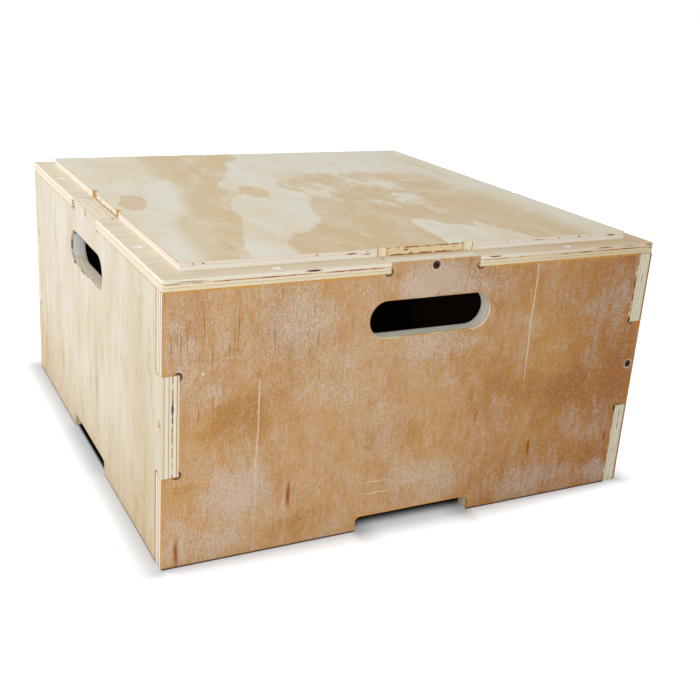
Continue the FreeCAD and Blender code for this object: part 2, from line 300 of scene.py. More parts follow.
deckPlies = {
    "layers": [
        # the top layer is the whitest: the face ply's colour with a painted highlight along the
        # rounded arris
        (0.00, (250, 241, 220)), (0.33, (212, 154, 98)), (0.42, (247, 234, 204)),
        (0.64, (216, 178, 122)), (0.68, (245, 229, 190)), (0.95, (216, 178, 112)),
    ],
    "gapBand": (0.30, 0.45),
    "gapTones": [
        (0.00, (238, 206, 162)), (0.46, (212, 152, 96)), (0.58, (164, 98, 44)), (0.67, (64, 36, 18)),
    ],
    "gapSize": 20,
    "thread": (14, 14, 0.6),
    "wobble": 0.02,
    "stain": (190, 148, 90),
}

topPlies = {
    "layers": [
        (0.00, (204, 166, 106)), (0.09, (255, 250, 241)), (0.38, (236, 214, 186)),
        (0.43, (255, 251, 243)), (0.90, (236, 214, 176)),
    ],
    "gapBand": (0.10, 0.36),
    "gapTones": [
        (0.00, (253, 244, 233)), (0.64, (212, 172, 122)), (0.68, (156, 100, 50)), (0.74, (92, 56, 30)),
    ],
    "gapSize": 7,
    "thread": (14, 14, 0.6),
    "wobble": 0.04,
    "stain": (214, 182, 138),
}


def plyEdge(place, through, plies, seed, openness=1.0):
    # a board's edge: its layers, with gaps in one of them and a stain along the fibres
    wave = grain(place, (70, 70, 70), 2, 0.55, seed)
    wander = scaleAdd(wave, 2 * plies["wobble"], -plies["wobble"])
    depth = sums("ADD", through, wander)
    colour = ramp(depth, plies["layers"])
    low, high = plies["gapBand"]
    soft = (high - low) / 4
    inBand = times(fade(depth, low, low + soft), fade(depth, high, high - soft))
    gaps = grain(place, (plies["gapSize"],) * 3, 3, 0.6, seed + 5)
    colour = tint(times(inBand, openness), colour, ramp(gaps, plies["gapTones"]))
    streak = grain(place, plies["thread"], 4, 0.65, seed + 2)
    stained = times(fade(streak, 0.52, 0.78), 0.34)
    return tint(stained, colour, plies["stain"]), streak


# brown face veneer

brownTones = {
    "orange": (208, 154, 75),
    "deep": (158, 94, 28),
    "haze": (221, 202, 183),
    "ash": (192, 176, 162),  # the haze towards the right
    "ember": (202, 130, 48),
    "gum": (166, 88, 18),
    "fleck": (150, 96, 50),
    "check": (152, 94, 40),
    "burn": (232, 158, 48),
    "joint": (234, 215, 190),
    "underPly": (232, 214, 180),
    "slit": (62, 36, 20),
    "scorch": (208, 126, 20),
    "nick": (238, 222, 206),
    "fray": (244, 226, 202),
    # the foot's dark line: part grime, part painted contact shadow
    "footShadeAndGrime": (64, 38, 26),
}

frontMarks = {  # places on the front face: along it, up it, their radii and a strength
    "haze": [
        (6, 288, 76, 34, 1.90), (66, 280, 26, 26, 0.55), (-163, 256, 60, 56, 0.75),
        (-218, 76, 58, 42, 1.30), (-284, 26, 20, 44, 0.60), (8, 214, 78, 20, 0.65),
        (15, 52, 84, 44, 0.60), (180, 24, 110, 34, 0.85), (263, 244, 30, 60, 0.75),
        (265, 70, 26, 66, 0.70), (-60, 130, 60, 60, 0.30), (-110, 190, 60, 50, 0.30),
        (232, 205, 16, 76, 0.60), (205, 100, 14, 40, 0.45), (286, 262, 16, 44, 0.80),
        (150, 226, 30, 30, 0.40), (-250, 196, 30, 26, 0.40), (274, 18, 34, 26, 1.60),
        (205, 255, 80, 50, 0.45), (252, 96, 9, 44, 0.70), (216, 140, 5, 30, 0.60),
        (-276, 250, 26, 50, 0.50), (-238, 26, 44, 34, 0.80),
    ],
    "deep": [
        (-230, 150, 58, 44, 0.40), (-147, 26, 50, 28, 0.70), (-274, 90, 34, 34, 0.55),
        (190, 145, 84, 60, 0.65), (194, 144, 44, 34, 0.45), (276, 150, 36, 52, 1.00),
        (90, 150, 70, 70, 0.35), (185, 240, 44, 60, 0.30), (-205, 165, 110, 60, 0.35),
        (240, 40, 50, 30, 0.35), (-40, 120, 90, 30, 0.35),
    ],
    "gum": [
        (-159.5, 63, 4.0, 26, 1.5), (-284, 18, 4.5, 30, 1.4), (154.5, 69, 3.6, 18, 1.8),
        (73, 121, 3.2, 14, 0.9), (272, 66, 3.6, 15, 1.7), (278, 36, 4.5, 14, 1.0),
    ],
    "checks": [
        (-258, 264, 1.1, 34, 0.9), (-222, 261, 1.1, 36, 1.0), (-177, 288, 1.1, 14, 0.9),
        (-285, 252, 1.4, 14, 0.8), (-183, 246, 1.3, 22, 0.8), (-134, 235, 1.4, 17, 0.9),
        (-249, 229, 1.4, 20, 0.9), (-236, 190, 1.3, 22, 0.6), (-208, 172, 1.3, 20, 0.7),
        (-281, 246, 1.2, 20, 0.7), (-275, 256, 1.2, 14, 0.8), (-291, 240, 1.2, 22, 0.7),
        (-226, 248, 1.2, 26, 0.7), (-231, 236, 1.6, 8, 1.0), (-262, 168, 1.4, 16, 0.8),
        (-247, 178, 1.4, 18, 0.8), (-95, 246, 1.2, 18, 0.6), (-118, 268, 1.2, 12, 0.5),
        (85, 250, 1.2, 18, 0.5), (166, 262, 1.2, 16, 0.4),
    ],
    "dashes": [
        (-272, 236, 40, 66, 1.0), (-236, 165, 60, 50, 1.0), (-215, 262, 60, 50, 0.6),
        (-262, 40, 40, 60, 0.7), (-140, 40, 60, 40, 0.7), (210, 170, 80, 90, 1.0),
        (110, 60, 80, 50, 0.5),
    ],
    "joints": [  # along the face, from and to which height, and a strength
        (-198, 60, 196, 0.85), (-198, -40, 80, 0.4), (-198, 240, 310, 0.35), (135, 139, 312, 0.9),
    ],
    "scratches": [
        (-234, 223.5, 16, 1.0, 0.9), (-57, 59, 24, 1.4, 1.2), (-52, 45, 26, 1.4, 1.2),
        (-14, 52.5, 22, 1.3, 1.0), (168, 198, 23, 1.2, 0.3), (-262, 209, 3.2, 2.4, 3.0),
        (-130, 182.5, 1.8, 1.8, 1.6), (-240, 34, 12, 1.0, 0.5),
    ],
    "nearCorner": [  # plies on the end at the left corner, as shares of the board and colours
        (0.00, (196, 150, 92)), (0.10, (250, 244, 230)), (0.30, (170, 140, 104)),
        (0.42, (250, 244, 230)), (0.60, (176, 160, 138)), (0.72, (250, 242, 224)),
        (0.92, (206, 160, 96)),
    ],
    "darkSide": (-60, 290),  # where the face's tone deepens, from and to
    "slits": [(280.6, 262, 1.3, 9, 1.2), (280.8, 245, 1.2, 11, 1.2), (280.5, 96, 1.2, 8, 0.9)],
    "burns": [
        (296, 208, 7, 9, 1.3), (293, 214, 12, 2.5, 1.1), (297, 190, 4, 14, 0.5), (279, 50, 3, 8, 0.8),
        (276, 32, 3, 7, 0.8), (296, 122, 5, 8, 0.6),
    ],
}

rightMarks = {  # the right face is as worn as the front one
    "haze": [
        (-190, 250, 70, 40, 0.80), (40, 282, 60, 36, 0.90), (-40, 60, 80, 46, 0.70),
        (210, 90, 40, 70, 0.80), (-262, 120, 30, 60, 0.60), (130, 215, 40, 60, 0.50),
        (250, 250, 40, 40, 0.60),
    ],
    "deep": [
        (-120, 150, 80, 60, 0.60), (90, 120, 70, 50, 0.70), (-230, 40, 60, 30, 0.60),
        (230, 180, 50, 40, 0.60), (170, 30, 60, 26, 0.50),
    ],
    "gum": [(-205, 88, 4, 22, 1.0), (66, 180, 3.6, 16, 1.0), (188, 140, 4, 20, 0.9)],
    "checks": [
        (-240, 262, 1.2, 30, 0.9), (-150, 240, 1.3, 22, 0.8), (-90, 90, 1.3, 24, 0.7),
        (110, 262, 1.2, 26, 0.8), (150, 160, 1.4, 18, 0.7), (245, 120, 1.3, 26, 0.8),
    ],
    "dashes": [(-200, 200, 90, 80, 0.8), (160, 120, 90, 90, 0.8)],
    "joints": [(-96, 30, 300, 0.7), (212, 120, 310, 0.6)],
    "scratches": [(-160, 190, 20, 1.1, 0.8), (20, 96, 26, 1.3, 1.0), (150, 70, 18, 1.1, 0.8)],
}

brownGrain = {  # sizes are along the wall, through it and up it
    "drift": ((120, 120, 200), 3, 0.55, 1),
    "flake": ((1.5, 1.5, 3.0), 4, 0.74, 3),
    "fibre": ((0.9, 0.9, 16), 3, 0.60, 7),
    "cloud": ((26, 26, 40), 6, 0.68, 11),
    "checks": ((1.5, 1.5, 34), 2, 0.50, 13),
    "hair": ((15, 15, 0.9), 3, 0.60, 15),
    "dash": ((1.7, 1.7, 12), 3, 0.60, 19),
    "swirl": ((75, 75, 44), 1, 0.55, 21),
    "curtain": ((7, 7, 64), 4, 0.62, 23),
    "rust": ((1.8, 1.8, 3.2), 2, 0.60, 25),
    "mottle": ((8, 8, 14), 4, 0.65, 27),
}

brownMix = {
    "deepDrift": 1.2,  # what each thing adds to the deep tone
    "deepSpots": 0.5,
    "deepRight": 0.72,
    "deepPatches": -0.9,
    "haze": 0.50,  # the haze, and what each thing adds to it
    "hazeRight": -0.38,
    "hazePatches": 1.45,
    "hazeSpots": 0.80,
    "hazeDeep": -0.42,
    "hazeLeast": 0.14,
    "hazeCover": 0.9,
    "plainSide": 0.3,  # depth of tone on a face that has no dark side
    "fleck": 0.42,
    "scuff": 0.7,
    "arc": 0.4,
    "check": 0.6,
    "drawn": 0.75,  # strength of the drawn checks and gum
    "burn": 0.85,
    "jointWidth": (1.3, 0.3),
    "jointLean": 5.0,
    "jointEnds": (50, 10),  # how far a joint's line fades in at its foot and out at its head
    "scratchTilt": -1,  # degrees
}


def brownVeneer(place, seed, marks):
    # rotary-cut face with upright grain and a dry pale haze rubbed into it
    tones = brownTones
    mix = brownMix
    stirred = stir(place, (26, 26, 36), (34, 34, 44), seed)
    noises = grains(place, brownGrain, seed)
    drift, flake, fibre, cloud, checks, hair, dash, swirl, curtain, rust, mottle = noises
    along = parts(place)[0]
    patches = minus(cloud, 0.5)
    kinds = ("deep", "haze", "dashes")
    deepSpots, hazeSpots, dashSpots = [spots(stirred, marks[kind]) for kind in kinds]
    toRight = fade(along, *marks["darkSide"]) if "darkSide" in marks else mix["plainSide"]
    light = fade(flake, 0.40, 0.64)

    deep = times(deepSpots, mix["deepSpots"])
    deep = scaleAdd(minus(drift, 0.5), mix["deepDrift"], deep)
    deep = scaleAdd(toRight, mix["deepRight"], deep)
    deep = scaleAdd(patches, mix["deepPatches"], deep)
    deep = times(deep, scaleAdd(light, -0.9, 1.35))
    colour = tint(deep, tones["orange"], tones["deep"])
    colour = tint(times(fade(fibre, 0.52, 0.74), mix["fleck"]), colour, tones["fleck"])

    haze = scaleAdd(toRight, mix["hazeRight"], mix["haze"])
    haze = scaleAdd(patches, mix["hazePatches"], haze)
    hanging = scaleAdd(curtain, 2.2, -1.1)
    haze = scaleAdd(hanging, scaleAdd(toRight, 0.7, 0.3), haze)
    haze = scaleAdd(minus(mottle, 0.5), scaleAdd(toRight, 1.5, 0.4), haze)
    haze = scaleAdd(hazeSpots, mix["hazeSpots"], haze)
    haze = scaleAdd(deepSpots, mix["hazeDeep"], haze)
    even = fade(haze, 0.9, 1.7)
    haze = sums("MINIMUM", largest(haze, mix["hazeLeast"]), 1.0)
    dry = scaleAdd(light, 0.96, 0.24)
    dry = scaleAdd(fade(dash, 0.58, 0.36), 0.26, dry)
    dry = between(times(even, 0.8), dry, 0.92)
    hazeTone = tint(toRight, tones["haze"], tones["ash"])
    colour = tint(times(haze, dry, mix["hazeCover"]), colour, hazeTone)
    scuffed = times(fade(hair, 0.62, 0.72), haze, mix["scuff"])
    arc = fade(absolute(minus(swirl, 0.52)), 0.040, 0.0)
    arced = times(arc, fade(cloud, 0.40, 0.60), fade(flake, 0.36, 0.64), mix["arc"])
    colour = tint(largest(scuffed, arced), colour, hazeTone)

    glowing = times(fade(dash, 0.53, 0.68), scaleAdd(dashSpots, 0.6, 0.22))
    colour = tint(glowing, colour, tones["ember"])
    rusty = scaleAdd(toRight, 0.32, scaleAdd(haze, -0.20, 0.28))
    colour = tint(times(fade(rust, 0.50, 0.66), rusty), colour, tones["ember"])
    nicked = times(fade(fibre, 0.34, 0.26), scaleAdd(toRight, 0.4, 0.2))
    colour = tint(nicked, colour, tones["nick"])
    checked = times(fade(checks, 0.65, 0.74), fade(drift, 0.36, 0.56), mix["check"])
    colour = tint(checked, colour, tones["check"])
    return brownMarks(colour, place, seed, marks, cloud, flake), fibre


def brownMarks(colour, place, seed, marks, cloud, flake):
    # checks, gum, veneer joints, scratches, slits and burns, drawn where the face has them
    tones = brownTones
    mix = brownMix
    along, _, height = parts(place)
    fine = stir(place, (5, 5, 14), (3, 3, 6), seed + 17)
    for kind, tone in (("checks", "check"), ("gum", "gum")):
        drawn = times(spots(fine, marks[kind]), mix["drawn"])
        colour = tint(drawn, colour, tones[tone])
    fadeIn, fadeOut = mix["jointEnds"]
    for where, low, high, strength in marks["joints"]:
        lean = scaleAdd(cloud, mix["jointLean"], -where - mix["jointLean"] / 2)
        off = absolute(sums("ADD", along, lean))
        line = times(fade(off, *mix["jointWidth"]), fade(flake, 0.22, 0.50))
        span = times(fade(height, low, low + fadeIn), fade(height, high + fadeOut, high))
        colour = tint(times(line, span, strength), colour, tones["joint"])
    tilted = addNode("ShaderNodeVectorRotate", rotation_type="Y_AXIS")
    tilted.inputs["Angle"].default_value = math.radians(mix["scratchTilt"])
    feed(tilted.inputs["Vector"], place)
    scratched = spots(tilted.outputs[0], marks["scratches"])
    colour = tint(times(scratched, fade(flake, 0.3, 0.55)), colour, tones["joint"])
    if "slits" in marks:
        colour = tint(spots(place, marks["slits"]), colour, tones["slit"])
        burns = times(spots(fine, marks["burns"]), mix["burn"])
        colour = tint(burns, colour, tones["scorch"])
    return colour


# pale face veneer

paleTones = {
    "cream": (234, 226, 209),
    "warm": (224, 210, 182),
    "tan": (203, 177, 130),
    "pink": (231, 215, 198),
    "burn": (212, 142, 50),
    # the foot's dark line: part grime, part painted contact shadow
    "footShadeAndGrime": (126, 88, 50),
    "fray": (196, 150, 92),
}

leftMarks = {
    "endVoids": [(-288.9, 180, 1.6, 9, 1.8), (-288.6, 167, 1.2, 5, 1.2)],
    "slotBurns": [(-60, 232, 7, 5, 1.8), (-75, 250, 4, 16, 1.3)],
    "tan": [
        (41, 128, 14, 76, 0.75), (41, 92, 12, 34, 0.50), (-155, 110, 30, 140, 0.35),
        (-146, 80, 14, 40, 0.55), (-250, 50, 16, 46, 0.85), (-262, 55, 60, 80, 0.45),
        (116, 76, 10, 22, 0.50), (216, 36, 12, 20, 0.70), (153, 182, 9, 22, 0.50),
        (212, 185, 8, 14, 0.40), (243, 104, 14, 60, 0.25), (-210, 60, 24, 70, 0.35),
        (0, 16, 200, 24, 0.25), (230, 160, 90, 260, 0.70), (-282, 150, 26, 220, 0.45),
        (-70, 262, 12, 14, 0.60), (-55, 235, 10, 8, 0.50),
    ],
}

paleGrain = {
    "broad": ((44, 44, 170), 4, 0.60, 1),
    "fibre": ((1.4, 1.4, 34), 4, 0.62, 3),
    "blush": ((130, 130, 100), 2, 0.55, 5),
    "cloud": ((18, 18, 56), 6, 0.66, 9),
    "fleck": ((1.6, 1.6, 12), 3, 0.60, 11),
}

paleMix = {
    "pink": 0.5,
    "tan": 0.85,
    "tanBelow": 130,  # the foot of the wall is tanned up to this height
    "tanFoot": 0.75,
    "threads": 0.12,
}


def paleVeneer(place, seed, marks):
    tones = paleTones
    mix = paleMix
    stirred = stir(place, (16, 16, 44), (26, 26, 50), seed)
    broad, fibre, blush, cloud, fleck = grains(place, paleGrain, seed)
    height = parts(place)[2]
    colour = tint(fade(broad, 0.36, 0.66), tones["cream"], tones["warm"])
    colour = tint(times(fade(blush, 0.45, 0.65), mix["pink"]), colour, tones["pink"])
    tan = sums("ADD", spots(stirred, marks.get("tan", [])), fade(cloud, 0.45, 0.80))
    tan = scaleAdd(fade(height, mix["tanBelow"], 0), mix["tanFoot"], tan)
    uneven = scaleAdd(fade(fleck, 0.30, 0.70), 0.45, 0.52)
    colour = tint(times(tan, uneven, mix["tan"]), colour, tones["tan"])
    colour = tint(times(fade(fibre, 0.52, 0.76), mix["threads"]), colour, tones["tan"])
    return colour, fibre


# walls


def boxOf(name):
    # the low and high corners of a piece, in millimetres
    return [Vector(corner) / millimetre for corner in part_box(name)]


wallLow, wallHigh = boxOf("front_panel")
deckLow, deckHigh = boxOf("deck")
topLow, topHigh = boxOf("top_board")
screwHeads = [sum(boxOf(name), Vector()) / 2 for name in ("front_tab_screw", "front_corner_screw")]

wallLook = {
    "ply": wallHigh.y - wallLow.y,
    "reach": -wallLow.y,  # outer face from the middle of the box
    "shoulder": deckLow.z,
    "tabTop": wallHigh.z,
    "halfTab": 55,
    "slotMiddle": 250,
    "slotReach": 54.5,  # half of the slot's straight run
    "slotRadius": 20.5,
    "halfNotch": 75,
    "notchTop": 18,
    "fingerMiddle": 160,
    "halfFinger": 55,
    "burnWidth": 2.2,
    "tabBurn": 0.35,  # the tab's top edge is scorched less than the shoulders
    "chipDepth": 3.0,  # veneer torn off beside the corner fingers
    "lipChipDepth": 2.1,  # and round the slot
    "chipSize": 8.0,
    "tabTopTone": (230, 221, 200),
    "void": (92, 44, 34),
    "screwRing": 7.0,  # reach of the frayed ring round a driven head
    "ringStrength": 6.0,
    "seamWidth": (5.5, 2.0),  # scorched strip beside the next wall's end
    "seamHeights": (120, 90),  # it is fainter above these
    "seamFaint": 0.55,
    "fingerGap": 1.0,
    "fingerBurn": (1.9, 0.6),
    "upperLip": (258, 267),  # the slot's upper lip starts between these heights
    "lipWidth": (2.6, 1.2),
    "slotBurnReach": (2.2, 0.8),
    # reach of the dark foot line, part grime and part painted contact shadow
    "footShadeSpan": (2.8, 1.0),
    "endZone": 10,  # an end's own marks reach this far from the wall's outline
    # the plies within the slot: ply colours whitened with painted light
    "lightenedSlotPlies": [
        (0.00, (255, 249, 222)), (0.13, (196, 170, 124)), (0.18, (253, 255, 246)),
        (0.37, (200, 180, 142)), (0.41, (253, 255, 248)), (0.60, (208, 190, 156)),
        (0.64, (253, 255, 250)), (0.82, (200, 184, 152)), (0.86, (253, 255, 250)),
    ],
    # painted light on the pale walls within the slot
    "paintedSlotLight": (255, 253, 252),
    "slotStain": (220, 194, 140),
    # painted shade on the slot's downward-facing roof, on pale walls
    "slotRoofShade": (70, 46, 28),
    # painted shade: the walls' inner faces are dark for the shade within the closed box
    "innerShade": (92, 70, 48),
    "innerShadeStreak": (66, 48, 32),
    "rough": 0.62,
    "bump": 0.25,
}

wallKinds = {
    "brown": {
        "tones": brownTones,
        "plies": brownWallPlies,
        "veneer": brownVeneer,
        "slotBurn": (214, 150, 74),
        "edgeBurn": 0.95,
        "slotStain": 0.12,
        "scorchFrom": 0.34,  # level of the noise at which the slot's lip is scorched
    },
    "pale": {
        "tones": paleTones,
        "plies": paleWallPlies,
        "veneer": paleVeneer,
        "slotBurn": (116, 72, 30),
        "edgeBurn": 0.5,
        "slotStain": 0.75,
        "scorchFrom": 0.46,
    },
}


def edgeGaps(along, height):
    # distances in millimetres from a wall's edges
    look = wallLook
    side = absolute(along)
    onTab = sums("LESS_THAN", side, look["halfTab"])
    away = addNode("ShaderNodeCombineXYZ")
    feed(away.inputs[0], largest(minus(side, look["slotReach"]), 0.0))
    feed(away.inputs[2], minus(height, look["slotMiddle"]))
    return {
        "top": minus(between(onTab, look["shoulder"], look["tabTop"]), height),
        "slot": minus(vectors("LENGTH", away.outputs[0]), look["slotRadius"]),
        "notch": largest(minus(side, look["halfNotch"]), minus(height, look["notchTop"])),
        "side": minus(look["reach"], side),
        "bottom": height,
    }


def cornerWear(face, along, height, torn, kind):
    # where the next wall's end meets the face, brown ply breaks away and pale ply is scorched
    look = wallLook
    inner = minus(look["reach"] - look["ply"], along)
    offFinger = absolute(minus(height, look["fingerMiddle"]))
    besideEnd = sums("GREATER_THAN", offFinger, look["halfFinger"])
    besideEnd = times(besideEnd, sums("GREATER_THAN", inner, 0.0))
    if kind == "pale":
        seam = times(fade(inner, *look["seamWidth"]), besideEnd, fade(torn, 0.30, 0.50))
        strength = between(fade(height, *look["seamHeights"]), look["seamFaint"], 1.0)
        return tint(times(seam, strength), face, paleTones["burn"])
    chip = sums("LESS_THAN", inner, times(fade(torn, 0.48, 0.70), look["chipDepth"]))
    face = tint(times(chip, besideEnd), face, brownTones["underPly"])
    besideFinger = absolute(minus(offFinger, look["halfFinger"] + look["fingerGap"]))
    atEnd = sums("LESS_THAN", along, look["ply"] - look["reach"])
    scorched = times(fade(besideFinger, *look["fingerBurn"]), atEnd, 0.8)
    return tint(scorched, face, wallKinds[kind]["slotBurn"])


def slotWear(face, slot, height, torn, slotBurns, kind):
    # the slot's lip is chipped on brown ply, and scorched on pale ply
    look = wallLook
    burnTone = wallKinds[kind]["slotBurn"]
    if kind == "brown":
        depth = times(fade(torn, 0.48, 0.70), look["lipChipDepth"])
        chip = times(sums("LESS_THAN", slot, depth), 0.7)
        face = tint(chip, face, brownTones["underPly"])
    else:
        upper = fade(height, *look["upperLip"])
        face = tint(times(fade(slot, *look["lipWidth"]), upper, 0.8), face, burnTone)
    burnt = times(slotBurns, fade(slot, *look["slotBurnReach"]))
    return tint(burnt, face, burnTone)


def edgeWear(face, place, gaps, onTab, torn, kind):
    # scorch along the cut edges, frayed rings round the screws, and a dark line along the foot that is
    # part grime and part painted contact shadow
    look = wallLook
    tones = wallKinds[kind]["tones"]
    width = look["burnWidth"]
    onTop = times(fade(gaps["top"], width, width * 0.4), between(onTab, 1.0, look["tabBurn"]))
    onNotch = fade(gaps["notch"], width, 0.0)
    onSlot = times(fade(gaps["slot"], width, 0.0), 0.8)
    onFoot = times(fade(gaps["bottom"], width * 1.2, 0.0), 0.9)
    onSide = times(fade(gaps["side"], width, 0.0), 0.7)
    burnt = largest(onTop, onNotch, onSlot, onFoot, onSide)
    burnt = times(burnt, fade(torn, 0.36, 0.52), wallKinds[kind]["edgeBurn"])
    face = tint(burnt, face, tones["burn"])
    ring = (look["screwRing"], look["screwRing"], look["ringStrength"])
    rings = spots(place, [(head.x, head.z, *ring) for head in screwHeads])
    face = tint(times(rings, fade(torn, 0.16, 0.44), 0.9), face, tones["fray"])
    # darker along the foot: part grime, part painted contact shadow where the wall meets the floor
    footShadeAndGrime = times(fade(gaps["bottom"], *look["footShadeSpan"]), 0.9)
    return tint(footShadeAndGrime, face, tones["footShadeAndGrime"])


def slotEnds(ends, place, through, upward, slot, slotBurns, streak, seed, kind):
    # within the hand slot the plies are whiter, painted light for the light that reaches in; they are
    # stained on the floor and scorched at the lip, and on pale walls the slot's roof gets painted
    # shade
    look = wallLook
    own = wallKinds[kind]
    inSlot = fade(slot, 2.0, 1.0)
    charring = grain(place, (30, 30, 16), 2, 0.55, seed + 61)
    wavy = scaleAdd(charring, 0.10, minus(through, 0.05))
    # whiter plies in the slot, near-white on pale walls: painted light
    ends = tint(times(inSlot, 0.85), ends, ramp(wavy, look["lightenedSlotPlies"]))
    if kind == "pale":
        ends = tint(times(inSlot, 0.6), ends, look["paintedSlotLight"])
    onFloor = times(inSlot, fade(upward, 0.5, 0.9))
    stained = times(onFloor, fade(streak, 0.34, 0.60), own["slotStain"])
    ends = tint(stained, ends, look["slotStain"])
    charred = fade(charring, own["scorchFrom"], own["scorchFrom"] + 0.18)
    lip = times(inSlot, fade(through, 0.14, 0.04), charred, 0.8)
    lip = largest(lip, times(slotBurns, fade(through, 0.15, 0.05)))
    ends = tint(lip, ends, own["slotBurn"])
    # painted shade on the slot's roof, whose faces look downward
    if kind == "pale":
        above = times(inSlot, fade(upward, -0.55, -0.85), 0.9)
        ends = tint(above, ends, look["slotRoofShade"])
    return ends


def wallMaterial(name, quarter, kind, seed, marks):
    made, shader = newMaterial(name)
    look = wallLook
    place, normal = millimetrePlace(quarter)
    along, depth, height = parts(place)
    upward = parts(normal)[2]
    through = scaleAdd(depth, 1 / look["ply"], look["reach"] / look["ply"])
    facing = looksAlong(normal, 1)
    gaps = edgeGaps(along, height)
    torn = grain(place, (look["chipSize"],) * 3, 4, 0.65, seed + 41)
    fine = stir(place, (4, 4, 4), (1.6, 1.6, 3), seed + 43)
    onTab = sums("GREATER_THAN", height, look["shoulder"])
    slotBurns = spots(fine, marks.get("slotBurns", []))

    outer, fibre = wallKinds[kind]["veneer"](place, seed, marks)
    outer = cornerWear(outer, along, height, torn, kind)
    outer = slotWear(outer, gaps["slot"], height, torn, slotBurns, kind)
    outer = edgeWear(outer, place, gaps, onTab, torn, kind)
    # the inner faces are painted dark: painted shade for the dark within the box
    innerShade = tint(fibre, look["innerShade"], look["innerShadeStreak"])
    face = tint(sums("GREATER_THAN", through, 0.5), outer, innerShade)

    ends, streak = plyEdge(place, through, wallKinds[kind]["plies"], seed + 51)
    if "nearCorner" in marks:
        seen = sums("LESS_THAN", along, look["endZone"] - look["reach"])
        ends = tint(seen, ends, ramp(through, marks["nearCorner"]))
    ends = slotEnds(ends, place, through, upward, gaps["slot"], slotBurns, streak, seed, kind)
    onTop = times(fade(upward, 0.8, 0.95), onTab, 0.5)
    ends = tint(onTop, ends, look["tabTopTone"])
    if "endVoids" in marks:
        onEnd = sums("GREATER_THAN", along, look["reach"] - look["endZone"])
        voids = times(spots(fine, marks["endVoids"], (1, 2)), onEnd)
        ends = tint(voids, ends, look["void"])
    colour = tint(facing, ends, face)
    dress(shader, colour, look["rough"], between(facing, streak, fibre), look["bump"])
    return made


# deck, whose rim shows round the raised board

deckLook = {
    "ply": deckHigh.z - deckLow.z,
    "top": deckHigh.z,
    "beige": (226, 214, 187),
    "pink": (230, 216, 197),
    "grey": (204, 190, 176),
    "sideEdge": (248, 241, 223),
    "dot": (92, 46, 12),
    "line": (182, 164, 140),
    # the front rim's tan is part the wood's own tone and part painted shade that deepens to the right
    "tan": (196, 158, 90),  # the front rim, most of all to the right
    "tanAndShadeFrom": (40, 220),
    "frontRim": (-200, -280),  # the tan sets in between these
    "grain": {
        "broad": ((210, 30, 30), 3, 0.55, 0),
        "fibre": ((52, 1.5, 1.5), 4, 0.60, 2),
        "thin": ((180, 3.2, 3.2), 2, 0.55, 4),
        "shade": ((90, 11, 11), 3, 0.55, 9),
    },
    "notchDots": [(60, 301.6, 8.0, 1.5, 2.2), (60, 305.2, 8.0, 1.5, 2.2), (60, 308.8, 8.0, 1.4, 2.2)],
    "edgeVoids": [
        (-144, 310.4, 12, 1.5, 2.0), (74, 310.5, 13, 1.0, 1.6), (-272, 309.2, 26, 0.8, 1.0),
        (293, 310.4, 9, 1.1, 1.6), (297, 306.6, 6, 0.8, 1.4), (226, 310.6, 20, 0.9, 1.3),
        (262, 310.6, 24, 0.7, 0.9), (198, 307.4, 11, 0.9, 1.4), (250, 307.2, 40, 0.6, 0.7),
    ],
    "rough": 0.6,
    "bump": 0.2,
}


def deckMaterial(name, seed):
    made, shader = newMaterial(name)
    look = deckLook
    place, normal = millimetrePlace()
    across, along, height = parts(place)
    through = scaleAdd(height, -1 / look["ply"], look["top"] / look["ply"])
    facing = looksAlong(normal, 2)
    sideways = absolute(parts(normal)[0])
    broad, fibre, thin, shade = grains(place, look["grain"], seed)
    face = tint(fade(broad, 0.38, 0.62), look["beige"], look["pink"])
    face = tint(times(fade(fibre, 0.5, 0.75), 0.35), face, look["grey"])
    face = tint(times(fade(thin, 0.70, 0.76), 0.6), face, look["line"])
    face = tint(times(fade(shade, 0.48, 0.70), 0.6), face, look["grey"])
    # towards the right the rim takes tan: part the wood's tone, part painted shade
    toRight = fade(across, *look["tanAndShadeFrom"])
    toFront = fade(along, *look["frontRim"])
    streaky = between(fade(fibre, 0.36, 0.62), 0.55, 1.0)
    tanAndShade = scaleAdd(times(toRight, streaky), 0.42, 0.16)
    face = tint(times(tanAndShade, toFront), face, look["tan"])

    openness = scaleAdd(sideways, -0.7, 1.0)
    ends, streak = plyEdge(place, through, deckPlies, seed + 6, openness)
    ends = tint(times(sideways, 0.4), ends, look["sideEdge"])
    # the rim's edge takes the same tan to the right: part the wood's tone, part painted shade
    ends = tint(times(toRight, toFront, 0.34), ends, look["tan"])
    onLeft = sums("LESS_THAN", across, 0.0)
    dots = times(spots(place, look["notchDots"], (1, 2)), onLeft)
    fine = stir(place, (5, 5, 2), (5, 5, 0.8), seed + 13)
    onFront = sums("LESS_THAN", along, look["frontRim"][1])
    voids = times(spots(fine, look["edgeVoids"]), onFront)
    ends = tint(largest(dots, voids), ends, look["dot"])
    colour = tint(facing, ends, face)
    dress(shader, colour, look["rough"], between(facing, streak, fibre), look["bump"])
    return made


# raised board, with the broad figure of rotary-cut pine running front to back

